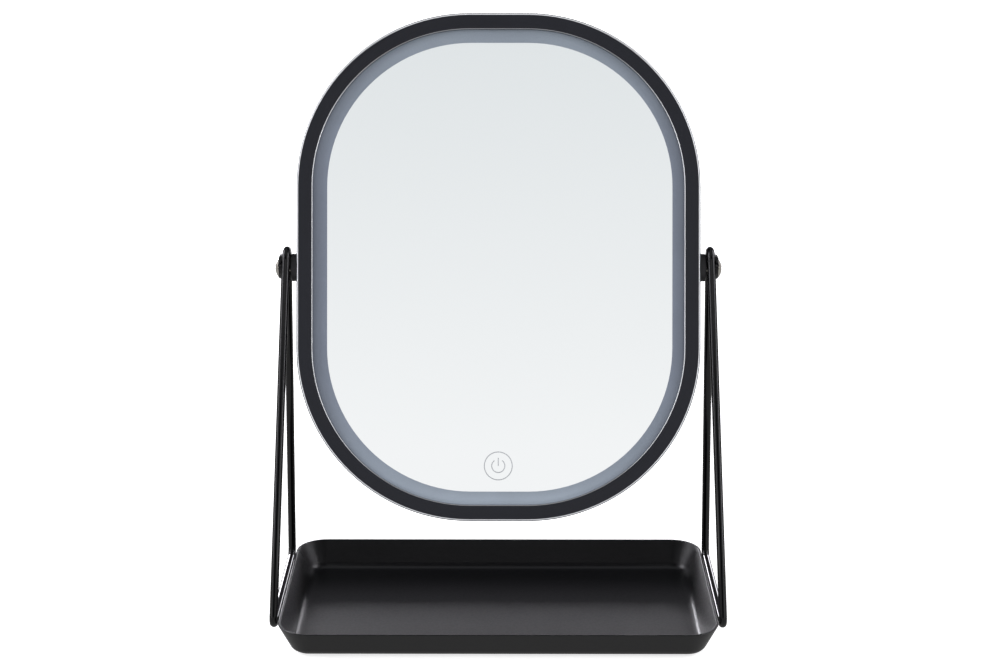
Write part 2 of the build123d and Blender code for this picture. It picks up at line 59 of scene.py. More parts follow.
# the camera that was fitted to the photo
LENS_MM = 71.12
LENS_SHIFT = 0.00154
CAMERA_AT = (2.78 * MM, -964.2 * MM, 440.8 * MM)
CAMERA_DOWN = 16.541
CAMERA_LEFT = 0.165

# a colour mix takes its factor at socket 0 and its colours at 6 and 7, and gives the result at 2
MIX_COLOUR = {"data_type": "RGBA"}
# a smooth, clamped change of range takes its value at socket 0 and the old range at 1 and 2, and
# the new range at 3 and 4; a range that isn't given is 0 to 1
SMOOTH = {"interpolation_type": "SMOOTHSTEP"}
# nearly all values of a noise texture lie between these two
NOISE_RANGE = {1: 0.3, 2: 0.7}
# a patch of slightly different colour is this many grains wide
GRAINS_IN_PATCH = 24
# the wave texture turns through this many radians for each metre at a scale of 1
WAVE_RADIANS = 20


# ---- what the frame says --------------------------------------------------------------------


def joint_named(name):
    """The frame's joint of this name."""
    return next(joint for joint in frame["joints"] if joint["name"] == name)


PIVOT = Vector(joint_named("head_tilt")["pos_m"])
ACROSS = Vector((1, 0, 0))
HEAD_UP = -Vector(joint_named("door_slide")["axis"]).normalized()
HEAD_BACK = HEAD_UP.cross(ACROSS)


def reach(node, direction):
    """How far a CAD node goes from the pivot in this direction: least and most, in metres."""
    along = [(v.co - PIVOT).dot(direction) for v in frame["nodes"][node].data.vertices]
    return min(along), max(along)


FACE_AT = reach("front_frame", HEAD_BACK)[0]


def on_head(x, up, depth):
    """Point on the head in metres: across, up from the pivot, and behind the bezel's face."""
    return PIVOT + ACROSS * x + HEAD_UP * up + HEAD_BACK * (FACE_AT + depth)


# ---- colours and nodes ----------------------------------------------------------------------


def linear(code):
    """An sRGB hex colour as linear RGB."""
    parts = [int(code[i : i + 2], 16) / 255 for i in (1, 3, 5)]
    return tuple(p / 12.92 if p <= 0.04045 else ((p + 0.055) / 1.055) ** 2.4 for p in parts)


def add_node(tree, kind, inputs=None, **settings):
    """Add a node with its settings; each input takes a value or the socket it is linked to."""
    made = tree.nodes.new(kind)
    for name, value in settings.items():
        setattr(made, name, value)
    for name, value in (inputs or {}).items():
        if isinstance(value, bpy.types.NodeSocket):
            tree.links.new(value, made.inputs[name])
        else:
            made.inputs[name].default_value = value
    return made


def new_material(name):
    """A material with an empty node tree, and its Object coordinates."""
    material = bpy.data.materials.new(name)
    material.use_nodes = True
    tree = material.node_tree
    tree.nodes.clear()
    return material, tree, add_node(tree, "ShaderNodeTexCoord").outputs["Object"]


def shade(colour, times):
    """A linear colour made darker or lighter, as RGBA."""
    return tuple(min(1.0, c * times) for c in colour[:3]) + (1.0,)


def between(tree, value, low, high, soft):
    """Socket that is 1 while a value lies between two limits and 0 outside them."""
    rise = {0: value, 1: low - soft / 2, 2: low + soft / 2}
    fall = {0: value, 1: high - soft / 2, 2: high + soft / 2, 3: 1.0, 4: 0.0}
    above = add_node(tree, "ShaderNodeMapRange", rise, **SMOOTH).outputs[0]
    below = add_node(tree, "ShaderNodeMapRange", fall, **SMOOTH).outputs[0]
    return add_node(tree, "ShaderNodeMath", {0: above, 1: below}, operation="MULTIPLY").outputs[0]


def from_corner_centres(tree, place, radius):
    """Socket with the distance from the line through the bezel's corner centres, so that it is the
    same all along the bezel's rounded outline."""
    centred = add_node(tree, "ShaderNodeVectorMath", {0: place, 1: tuple(PIVOT)}, operation="SUBTRACT")
    squares = []
    for way in (ACROSS, HEAD_UP):
        straight = reach("front_frame", way)[1] - radius
        along = add_node(
            tree, "ShaderNodeVectorMath", {0: centred.outputs[0], 1: tuple(way)}, operation="DOT_PRODUCT"
        )
        size = add_node(tree, "ShaderNodeMath", {0: along.outputs["Value"]}, operation="ABSOLUTE")
        past = add_node(tree, "ShaderNodeMath", {0: size.outputs[0], 1: straight}, operation="SUBTRACT")
        past = add_node(tree, "ShaderNodeMath", {0: past.outputs[0], 1: 0.0}, operation="MAXIMUM")
        squares.append(
            add_node(tree, "ShaderNodeMath", {0: past.outputs[0], 1: 2.0}, operation="POWER").outputs[0]
        )
    total = add_node(tree, "ShaderNodeMath", {0: squares[0], 1: squares[1]}, operation="ADD")
    return add_node(tree, "ShaderNodeMath", {0: total.outputs[0]}, operation="SQRT").outputs[0]


def grained(name, colour, rough, grain, relief, uneven=0.12, **sockets):
    """A surface with a fine grain of a real size in metres, a little patchy in colour and gloss."""
    material, tree, place = new_material(name)
    fine = add_node(tree, "ShaderNodeTexNoise", {"Vector": place, "Scale": 1 / grain, "Detail": 3.0})
    patch = GRAINS_IN_PATCH * grain
    broad = add_node(tree, "ShaderNodeTexNoise", {"Vector": place, "Scale": 1 / patch, "Detail": 2.0})
    shades = {0: broad.outputs["Fac"], 6: shade(colour, 1 - uneven), 7: shade(colour, 1 + uneven)}
    tint = add_node(tree, "ShaderNodeMix", shades, **MIX_COLOUR).outputs[2]
    range_of_gloss = {3: rough * (1 - uneven), 4: rough * (1 + uneven)}
    gloss = add_node(
        tree, "ShaderNodeMapRange", {0: fine.outputs["Fac"], **NOISE_RANGE, **range_of_gloss}, **SMOOTH
    ).outputs[0]
    bump = add_node(
        tree, "ShaderNodeBump", {"Height": fine.outputs["Fac"], "Strength": 1.0, "Distance": relief}
    )
    shader = add_node(
        tree,
        "ShaderNodeBsdfPrincipled",
        {"Base Color": tint, "Roughness": gloss, "Normal": bump.outputs["Normal"]},
    )
    for socket, value in sockets.items():
        shader.inputs[socket.replace("_", " ").title()].default_value = value
    add_node(tree, "ShaderNodeOutputMaterial", {"Surface": shader.outputs[0]})
    return material


def moulded_bezel(colours, sizes):
    """Black moulded ABS: a flat satin black face, with a pale painted highlight in its outer rounding
    that ends in a painted grey shade at the outline, and a finer painted highlight in its inner lip."""
    material, tree, place = new_material("moulded_abs_bezel")
    fine = add_node(tree, "ShaderNodeTexNoise", {"Vector": place, "Scale": 1 / (0.6 * MM), "Detail": 3.0})
    broad = add_node(tree, "ShaderNodeTexNoise", {"Vector": place, "Scale": 1 / (22 * MM), "Detail": 2.0})
    # depth behind the flat face, and distance from the middle line, in the head's own directions
    along = add_node(
        tree, "ShaderNodeVectorMath", {0: place, 1: tuple(HEAD_BACK)}, operation="DOT_PRODUCT"
    ).outputs["Value"]
    far_out = from_corner_centres(tree, place, sizes.bezel_corner)
    # 1 towards the bezel's outer outline, 0 towards its inner lip
    outline = add_node(
        tree,
        "ShaderNodeMapRange",
        {0: far_out, 1: sizes.bezel_corner - 4 * MM, 2: sizes.bezel_corner - 3 * MM},
        **SMOOTH,
    ).outputs[0]
    face = PIVOT.dot(HEAD_BACK) + FACE_AT
    # 0 on the flat face, 1 on the roundings behind it
    edge = add_node(
        tree, "ShaderNodeMapRange", {0: along, 1: face + 0.02 * MM, 2: face + 0.12 * MM}, **SMOOTH
    ).outputs[0]
    # painted highlights: the outer one begins right behind the face, and the inner one lies a little deeper
    soft = 0.1 * MM
    outer = between(tree, along, face + 0.07 * MM, face + sizes.painted_rim_depth, soft)
    inner = between(tree, along, face + 0.2 * MM, face + 0.65 * MM, soft)
    # the inner painted highlight fades towards the top and bottom
    up = add_node(tree, "ShaderNodeVectorMath", {0: place, 1: tuple(PIVOT)}, operation="SUBTRACT")
    up = add_node(
        tree, "ShaderNodeVectorMath", {0: up.outputs[0], 1: tuple(HEAD_UP)}, operation="DOT_PRODUCT"
    )
    up = add_node(tree, "ShaderNodeMath", {0: up.outputs["Value"]}, operation="ABSOLUTE").outputs[0]
    shown = add_node(
        tree, "ShaderNodeMapRange", {0: up, 1: 60 * MM, 2: 110 * MM, 3: 1.0, 4: 0.3}, **SMOOTH
    ).outputs[0]
    inner = add_node(tree, "ShaderNodeMath", {0: inner, 1: shown}, operation="MULTIPLY").outputs[0]
    # painted highlight: the mask of the outer or the inner pale highlight, by how near the outline
    highlight = add_node(tree, "ShaderNodeMix", {0: outline, 2: inner, 3: outer}, data_type="FLOAT")
    shades = {0: broad.outputs["Fac"], 6: shade(colours.bezel, 0.85), 7: shade(colours.bezel, 1.2)}
    satin = add_node(tree, "ShaderNodeMix", shades, **MIX_COLOUR).outputs[2]
    # the painted highlight is laid over the satin black
    highlighted = {0: highlight.outputs[0], 6: satin, 7: shade(colours.bezel_edge_highlight, 1.0)}
    tint = add_node(tree, "ShaderNodeMix", highlighted, **MIX_COLOUR).outputs[2]
    # painted shade: the outer edge of the rounding, where it turns away, is painted grey
    rim_shade_mask = between(tree, along, face + sizes.rim_shade, face + sizes.painted_rim_depth, soft)
    rim_shade_mask = add_node(tree, "ShaderNodeMath", {0: outline, 1: rim_shade_mask}, operation="MULTIPLY")
    rim_shaded = {0: rim_shade_mask.outputs[0], 6: tint, 7: shade(colours.rim_shade, 1.0)}
    tint = add_node(tree, "ShaderNodeMix", rim_shaded, **MIX_COLOUR).outputs[2]
    # satin on the face, glossy on the roundings
    gloss = add_node(
        tree, "ShaderNodeMapRange", {0: fine.outputs["Fac"], **NOISE_RANGE, 3: 0.34, 4: 0.42}, **SMOOTH
    ).outputs[0]
    rough = add_node(tree, "ShaderNodeMix", {0: edge, 2: gloss, 3: 0.1}, data_type="FLOAT")
    bump = add_node(
        tree,
        "ShaderNodeBump",
        {"Height": fine.outputs["Fac"], "Strength": 0.6, "Distance": 0.012 * MM},
    )
    shader = add_node(
        tree,
        "ShaderNodeBsdfPrincipled",
        {"Base Color": tint, "Roughness": rough.outputs[0], "Normal": bump.outputs["Normal"]},
    )
    add_node(tree, "ShaderNodeOutputMaterial", {"Surface": shader.outputs[0]})
    return material


def silvered_mirror(colours):
    """Float glass silvered on its back: the silver mirrors nearly all light with a trace of green,
    under the clear, hard gloss of the glass's own front."""
    material, tree, place = new_material("silvered_float_glass")
    broad = add_node(tree, "ShaderNodeTexNoise", {"Vector": place, "Scale": 1 / (90 * MM), "Detail": 1.0})
    shades = {0: broad.outputs["Fac"], 6: shade(colours.silver, 0.995), 7: shade(colours.silver, 1.005)}
    tint = add_node(tree, "ShaderNodeMix", shades, **MIX_COLOUR).outputs[2]
    shader = add_node(
        tree,
        "ShaderNodeBsdfPrincipled",
        {
            "Base Color": tint,
            "Metallic": 1.0,
            "Roughness": 0.015,
            "Coat Weight": 0.4,
            "Coat Roughness": 0.0,
        },
    )
    add_node(tree, "ShaderNodeOutputMaterial", {"Surface": shader.outputs[0]})
    return material


def etched_glass(colours):
    """Sand-blasted back of the glass over the unlit light ring: soft blue-grey and matt under glass
    gloss, with painted shade beside the bezel and along the sides, and painted light at the ends."""
    material, tree, place = new_material("etched_light_band")
    fine = add_node(tree, "ShaderNodeTexNoise", {"Vector": place, "Scale": 1 / (0.5 * MM), "Detail": 4.0})
    broad = add_node(tree, "ShaderNodeTexNoise", {"Vector": place, "Scale": 1 / (35 * MM), "Detail": 2.0})
    painted_band_light = add_node(tree, "ShaderNodeAttribute", attribute_name="painted_band_light").outputs["Fac"]
    ends = add_node(tree, "ShaderNodeAttribute", attribute_name="towards_ends").outputs["Fac"]
    # painted light and shade: the sides take the shaded tone and the ends the lit one
    shades = {0: ends, 6: shade(colours.band_sides_shaded, 1.0), 7: shade(colours.band_ends_lit, 1.0)}
    ground = add_node(tree, "ShaderNodeMix", shades, **MIX_COLOUR).outputs[2]
    cloud = add_node(
        tree, "ShaderNodeMapRange", {0: broad.outputs["Fac"], **NOISE_RANGE, 3: 0.96, 4: 1.04}, **SMOOTH
    ).outputs[0]
    grit = add_node(
        tree, "ShaderNodeMapRange", {0: fine.outputs["Fac"], **NOISE_RANGE, 3: 0.97, 4: 1.03}, **SMOOTH
    ).outputs[0]
    # painted light and shade laid over the tone
    cloudy = add_node(tree, "ShaderNodeMath", {0: painted_band_light, 1: cloud}, operation="MULTIPLY").outputs[0]
    factor = add_node(tree, "ShaderNodeMath", {0: cloudy, 1: grit}, operation="MULTIPLY").outputs[0]
    tint = add_node(tree, "ShaderNodeVectorMath", {0: ground, "Scale": factor}, operation="SCALE")
    shader = add_node(
        tree,
        "ShaderNodeBsdfPrincipled",
        {
            "Base Color": tint.outputs[0],
            "Roughness": 0.55,
            "Specular IOR Level": 0.2,
            "Coat Weight": 0.35,
            "Coat Roughness": 0.02,
        },
    )
    add_node(tree, "ShaderNodeOutputMaterial", {"Surface": shader.outputs[0]})
    return material


def turned_metal(name, colour, rough, ridge):
    """Nickel-plated turned steel: a pale warm metal with fine rings round the pivot's axis, each a
    ridge and a groove of this width in metres."""
    material, tree, place = new_material(name)
    centred = add_node(
        tree, "ShaderNodeMapping", {"Vector": place, "Location": tuple(-PIVOT)}, vector_type="POINT"
    )
    fineness = math.tau / (WAVE_RADIANS * 2 * ridge)
    rings = add_node(
        tree,
        "ShaderNodeTexWave",
        {"Vector": centred.outputs[0], "Scale": fineness, "Distortion": 0.6, "Detail": 1.0},
        wave_type="RINGS",
        rings_direction="X",
    )
    dust = add_node(tree, "ShaderNodeTexNoise", {"Vector": place, "Scale": 1 / (1.5 * MM), "Detail": 3.0})
    shades = {0: dust.outputs["Fac"], 6: shade(colour, 0.94), 7: shade(colour, 1.04)}
    tint = add_node(tree, "ShaderNodeMix", shades, **MIX_COLOUR).outputs[2]
    gloss = add_node(
        tree, "ShaderNodeMapRange", {0: rings.outputs["Fac"], 3: rough * 0.8, 4: rough * 1.25}, **SMOOTH
    ).outputs[0]
    bump = add_node(
        tree, "ShaderNodeBump", {"Height": rings.outputs["Fac"], "Strength": 0.5, "Distance": 0.006 * MM}
    )
    shader = add_node(
        tree,
        "ShaderNodeBsdfPrincipled",
        {"Base Color": tint, "Metallic": 1.0, "Roughness": gloss, "Normal": bump.outputs["Normal"]},
    )
    add_node(tree, "ShaderNodeOutputMaterial", {"Surface": shader.outputs[0]})
    return material


# ---- meshes ---------------------------------------------------------------------------------


def new_object(name, mesh, *materials):
    """An object at the origin with these materials."""
    made = bpy.data.objects.new(name, mesh)
    bpy.context.scene.collection.objects.link(made)
    for material in materials:
        mesh.materials.append(material)
    return made


def mesh_from(name, corners, faces):
    """A flat-shaded mesh from corners and faces, with its faces turned outwards."""
    mesh = bpy.data.meshes.new(name)
    mesh.from_pydata([tuple(c) for c in corners], [], faces)
    shape = bmesh.new()
    shape.from_mesh(mesh)
    bmesh.ops.recalc_face_normals(shape, faces=shape.faces)
    shape.to_mesh(mesh)
    shape.free()
    return mesh


def rounded_outline(half_w, half_h, radius, centre_x, arc_steps=28):
    """Points round a rounded rectangle, anticlockwise from the right side's upper corner."""
    points = []
    for quarter in range(4):
        corner_x = (half_w - radius) * (1 if quarter in (0, 3) else -1)
        corner_y = (half_h - radius) * (1 if quarter in (0, 1) else -1)
        for step in range(arc_steps + 1):
            turn = math.radians(90 * (quarter + step / arc_steps))
            points.append(
                (centre_x + corner_x + radius * math.cos(turn), corner_y + radius * math.sin(turn))
            )
    return points


def ring_faces(first, second, count):
    """Quads between two closed rows of the same number of corners."""
    return [
        (first + i, first + (i + 1) % count, second + (i + 1) % count, second + i) for i in range(count)
    ]


def baked(holder, name):
    """A plain mesh object made from a holder's Geometry Nodes, and the holder removed."""
    bpy.context.view_layer.update()
    graph = bpy.context.evaluated_depsgraph_get()
    mesh = bpy.data.meshes.new_from_object(holder.evaluated_get(graph), depsgraph=graph)
    bpy.data.objects.remove(holder)
    mesh.name = name
    return new_object(name, mesh)


def node_group(name, inputs):
    """A Geometry Nodes tree with a geometry in and out and these named inputs."""
    tree = bpy.data.node_groups.new(name, "GeometryNodeTree")
    tree.interface.new_socket(name="Geometry", in_out="INPUT", socket_type="NodeSocketGeometry")
    for label, kind in inputs:
        tree.interface.new_socket(name=label, in_out="INPUT", socket_type=kind)
    tree.interface.new_socket(name="Geometry", in_out="OUTPUT", socket_type="NodeSocketGeometry")
    return tree, add_node(tree, "NodeGroupInput").outputs


def run_group(name, tree, corners, edges, values):
    """Run a tree on a line or a cloud of points, with its inputs set, and keep the plain mesh."""
    mesh = bpy.data.meshes.new(name)
    mesh.from_pydata([tuple(c) for c in corners], edges, [])
    holder = new_object(name + "_holder", mesh)
    modifier = holder.modifiers.new(name, "NODES")
    modifier.node_group = tree
    for item in tree.interface.items_tree:
        if item.item_type == "SOCKET" and item.in_out == "INPUT" and item.name in values:
            modifier[item.identifier] = values[item.name]
    return baked(holder, name)


def dress(material, *nodes):
    """Give CAD nodes a material."""
    for name in nodes:
        slots = frame["nodes"][name].data.materials
        slots.clear()
        slots.append(material)


# ---- what a user may change -----------------------------------------------------------------


class VanitySizes(bpy.types.PropertyGroup):
    """Sizes of the visible detail, in metres."""

    bezel_corner: bpy.props.FloatProperty(
        name="Bezel corner", description="Outer corner radius of the bezel", default=86.9 * MM,
        unit="LENGTH",
    )
    # painted highlight and painted shade: how deep the pale and grey painted band on the outer rounding
    # goes
    painted_rim_depth: bpy.props.FloatProperty(
        name="Pinstripe", description="Depth to which the bezel's pale outer stripe goes back",
        default=1.5 * MM, unit="LENGTH",
    )
    # painted shade: the depth where the painted highlight turns to a painted grey
    rim_shade: bpy.props.FloatProperty(
        name="Ring edge", description="Depth at which the outer stripe turns from pale to grey",
        default=0.28 * MM, unit="LENGTH",
    )
    glass_corner: bpy.props.FloatProperty(
        name="Glass corner", description="Corner radius of the glass", default=80.7 * MM, unit="LENGTH"
    )
    band_inset: bpy.props.FloatProperty(
        name="Light band", description="Etched border of the glass, from its edge to the silver",
        default=8.5 * MM, unit="LENGTH",
    )
    band_hidden: bpy.props.FloatProperty(
        name="Hidden border", description="Part of the etched border under the bezel's lip",
        default=2.0 * MM, unit="LENGTH",
    )
    silver_shift: bpy.props.FloatProperty(
        name="Silver shift", description="How far right the silvered area sits in its frame",
        default=0.65 * MM, unit="LENGTH",
    )
    glass_seam: bpy.props.FloatProperty(
        name="Glass seam", description="Ground edge of the glass", default=0.3 * MM, unit="LENGTH"
    )
    touch_up: bpy.props.FloatProperty(
        name="Touch mark height", description="Touch mark above the pivot, along the glass",
        default=-99.8 * MM, unit="LENGTH",
    )
    touch_diameter: bpy.props.FloatProperty(
        name="Touch mark", description="Outer diameter of the touch mark's ring",
        default=14.5 * MM, unit="LENGTH",
    )
    touch_line: bpy.props.FloatProperty(
        name="Mark line", description="Width of the mark's printed lines", default=0.5 * MM, unit="LENGTH"
    )
    power_diameter: bpy.props.FloatProperty(
        name="Power sign", description="Middle diameter of the power sign's arc",
        default=6.6 * MM, unit="LENGTH",
    )
    bead: bpy.props.FloatProperty(
        name="Weld ripple", description="Radius of one ripple of a weld", default=0.95 * MM, unit="LENGTH"
    )
    stitch: bpy.props.FloatProperty(
        name="Weld length", description="Length of a weld between wire and tray",
        default=9.0 * MM, unit="LENGTH",
    )


class VanityColours(bpy.types.PropertyGroup):
    """Colours of the finishes."""

    bezel: bpy.props.FloatVectorProperty(
        name="Bezel", description="Satin face of the bezel", default=linear("#191B23"), subtype="COLOR"
    )
    # painted highlight: the pale colour painted on the bezel's roundings
    bezel_edge_highlight: bpy.props.FloatVectorProperty(
        name="Pinstripe", description="Pale clear ring that shows round the bezel",
        default=linear("#E6E8EA"), subtype="COLOR",
    )
    # painted shade: the grey painted on the outer edge of the rounding
    rim_shade: bpy.props.FloatVectorProperty(
        name="Ring edge", description="Outer edge of the clear ring", default=linear("#5C6064"),
        subtype="COLOR",
    )
    powder: bpy.props.FloatVectorProperty(
        name="Tray", description="Powder coat of the tray", default=linear("#040406"), subtype="COLOR"
    )
    wire: bpy.props.FloatVectorProperty(
        name="Wire", description="Gloss paint of the wire frames", default=linear("#030304"),
        subtype="COLOR",
    )
    nickel: bpy.props.FloatVectorProperty(
        name="Screws", description="Nickel of the pivot screws", default=linear("#D4D0C8"),
        subtype="COLOR",
    )
    silver: bpy.props.FloatVectorProperty(
        name="Silver", description="Silvering seen through the glass", default=linear("#F3F7F6"),
        subtype="COLOR",
    )
    # painted shade and painted light: the same etching, darker along the sides and lighter at the ends
    band_sides_shaded: bpy.props.FloatVectorProperty(
        name="Band, sides", description="Etched band along the sides", default=linear("#79818F"),
        subtype="COLOR",
    )
    band_ends_lit: bpy.props.FloatVectorProperty(
        name="Band, top and bottom", description="Etched band at the top and bottom",
        default=linear("#8C96A1"), subtype="COLOR",
    )
    ink: bpy.props.FloatVectorProperty(
        name="Touch mark", description="Printed lines of the touch mark", default=linear("#B2B5B8"),
        subtype="COLOR",
    )
    cover: bpy.props.FloatVectorProperty(
        name="Rear cover", description="Textured plastic of the cover and door",
        default=linear("#1A1B1D"), subtype="COLOR",
    )


# ---- the pieces -----------------------------------------------------------------------------


class VANITY_OT_mirror_glass(bpy.types.Operator):
    """Make the mirror's glass: silvered inside, with an etched border for the light"""

    bl_idname = "vanity.mirror_glass"
    bl_label = "Mirror glass"

    def execute(self, context):
        sizes, colours = context.scene.vanity_sizes, context.scene.vanity_colours
        half_w = reach("mirror_glass", ACROSS)[1]
        half_h = reach("mirror_glass", HEAD_UP)[1]
        front = reach("mirror_glass", HEAD_BACK)[0] - FACE_AT
        back = reach("mirror_glass", HEAD_BACK)[1] - FACE_AT
        seam = sizes.glass_seam
        shown = sizes.band_inset - sizes.band_hidden
        # rows from the silver's edge out over the etched border and round to the back, each with its
        # inset from the glass's edge, its depth and how near it lies to the silver, from 1 to 0
        rows = [(sizes.band_inset, front, 1.0)]
        steps = 6
        for step in range(1, steps + 1):
            rows.append((sizes.band_inset - shown * step / steps, front, 1 - step / steps))
        rows += [(seam, front, 0.0), (0.0, front + seam, 0.0), (0.0, back - seam, 0.0), (seam, back, 0.0)]
        # the band's painted lighter ends begin at this share of the half height, and reach their full tone
        # over this one
        ends_begin = 0.35
        ends_over = 0.6
        # painted light and shade on the band: its brightness at the silver and beside the bezel, painted
        # lighter at the bottom than at the top
        at_silver = 1.05
        at_sides = 0.93
        more_at_bottom = 0.75
        more_at_top = 0.1
        corners, painted_band_light, ends = [], [], []
        for inset, depth, share in rows:
            shift = sizes.silver_shift * share
            outline = rounded_outline(half_w - inset, half_h - inset, sizes.glass_corner - inset, shift)
            for x, up in outline:
                corners.append(on_head(x, up, depth))
                end = min(1.0, max(0.0, (abs(up) / half_h - ends_begin) / ends_over)) ** 1.5
                ends.append(end)
                beside = at_sides + (more_at_bottom if up < 0 else more_at_top) * end
                painted_band_light.append(beside + (at_silver - beside) * share**0.7)
        count = len(outline)
        faces = []
        for row in range(len(rows) - 1):
            faces += ring_faces(row * count, (row + 1) * count, count)
        border_faces = (steps + 1) * count
        silver_face = len(faces)
        faces.append(tuple(range(count)))
        faces.append(tuple(range((len(rows) - 1) * count, len(rows) * count)))
        mesh = mesh_from("mirror_plate", corners, faces)
        # painted light and shade of the band, and how near the ends each corner lies
        for name, values in (("painted_band_light", painted_band_light), ("towards_ends", ends)):
            layer = mesh.attributes.new(name, "FLOAT", "POINT")
            layer.data.foreach_set("value", values)
        # ground float glass: a dull green-grey edge
        ground = grained(
            "ground_glass_edge", linear("#5E7A74"),
            rough=0.35, grain=0.4 * MM, relief=0.004 * MM,
        )
        # sprayed protective paint: flat grey, slightly pebbled
        paint = grained(
            "mirror_back_paint", linear("#6B7072"),
            rough=0.6, grain=0.8 * MM, relief=0.01 * MM,
        )
        plate = new_object(
            "mirror_plate", mesh, silvered_mirror(colours), etched_glass(colours), ground, paint
        )
        # material slots: 0 silver, 1 etched band, 2 ground edge, 3 paint
        for number, face in enumerate(mesh.polygons):
            if number < border_faces:
                face.material_index = 1
            elif number < silver_face:
                face.material_index = 2
            else:
                face.material_index = 0 if number == silver_face else 3
        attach(plate, "head")
        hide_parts("mirror_glass")
        return {"FINISHED"}


class VANITY_OT_touch_mark(bpy.types.Operator):
    """Print the touch key's ring and power sign on the glass"""

    bl_idname = "vanity.touch_mark"
    bl_label = "Touch mark"

    def execute(self, context):
        sizes, colours = context.scene.vanity_sizes, context.scene.vanity_colours
        front = reach("mirror_glass", HEAD_BACK)[0] - FACE_AT
        # the print is 0.1 mm thick and stands just clear of the glass
        top = front - 0.12 * MM
        bottom = front - 0.02 * MM
        line = sizes.touch_line
        # half the gap in the power sign's arc, in degrees, and its upright's share of the diameter
        half_gap = 35
        upright = 0.62
        corners, faces = [], []

        def strip(radius, start, stop, steps):
            """A printed arc of the line's width, with its ends closed."""
            closed = stop - start >= 360
            base = len(corners)
            count = steps if closed else steps + 1
            for step in range(count):
                turn = math.radians(start + (stop - start) * step / steps)
                for size, depth in (
                    (radius - line / 2, top), (radius + line / 2, top),
                    (radius + line / 2, bottom), (radius - line / 2, bottom),
                ):
                    corners.append(
                        on_head(size * math.cos(turn), sizes.touch_up + size * math.sin(turn), depth)
                    )
            for step in range(steps):
                here, there = base + 4 * step, base + 4 * ((step + 1) % count)
                for k in range(4):
                    faces.append((here + k, here + (k + 1) % 4, there + (k + 1) % 4, there + k))
            if not closed:
                faces.append(tuple(base + k for k in range(4)))
                faces.append(tuple(base + 4 * steps + k for k in range(4)))

        strip((sizes.touch_diameter - line) / 2, 0, 360, 96)
        strip(sizes.power_diameter / 2, 90 + half_gap, 450 - half_gap, 48)
        # the sign's upright stroke
        base = len(corners)
        low, high = sizes.touch_up, sizes.touch_up + sizes.power_diameter * upright
        for depth in (top, bottom):
            for x, up in ((-line / 2, low), (line / 2, low), (line / 2, high), (-line / 2, high)):
                corners.append(on_head(x, up, depth))
        faces += [(base, base + 1, base + 2, base + 3), (base + 4, base + 5, base + 6, base + 7)]
        for k in range(4):
            faces.append((base + k, base + (k + 1) % 4, base + 4 + (k + 1) % 4, base + 4 + k))
        # screen-printed ink: pale grey, flat and even
        ink = grained("printed_ink", colours.ink, rough=0.5, grain=0.2 * MM, relief=0.002 * MM)
        mark = new_object("touch_mark", mesh_from("touch_mark", corners, faces), ink)
        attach(mark, "head")
        return {"FINISHED"}


class VANITY_OT_stand_finishes(bpy.types.Operator):
    """Finish the tray, its feet, the wire frames and the pivot plates"""

    bl_idname = "vanity.stand_finishes"
    bl_label = "Stand finishes"

    def execute(self, context):
        colours = context.scene.vanity_colours
        # polyester powder coat on pressed steel: satin, with an orange peel drawn 1.3 mm coarse
        powder = grained("satin_powder_coat", colours.powder, rough=0.32, grain=1.3 * MM, relief=0.02 * MM)
        # stoved gloss enamel on drawn wire: deep black with crisp long highlights
        enamel = grained(
            "gloss_stoved_enamel", colours.wire,
            rough=0.08, grain=2.2 * MM, relief=0.004 * MM,
        )
        # moulded rubber: dull black, slightly dusty
        rubber = grained(
            "moulded_rubber", linear("#19191B"),
            rough=0.8, grain=0.7 * MM, relief=0.03 * MM, uneven=0.2,
        )
        dress(powder, "tray")
        dress(enamel, "wire_frame_right", "wire_frame_left", "pivot_plate_right", "pivot_plate_left")
        dress(rubber, "tray_feet")
        return {"FINISHED"}


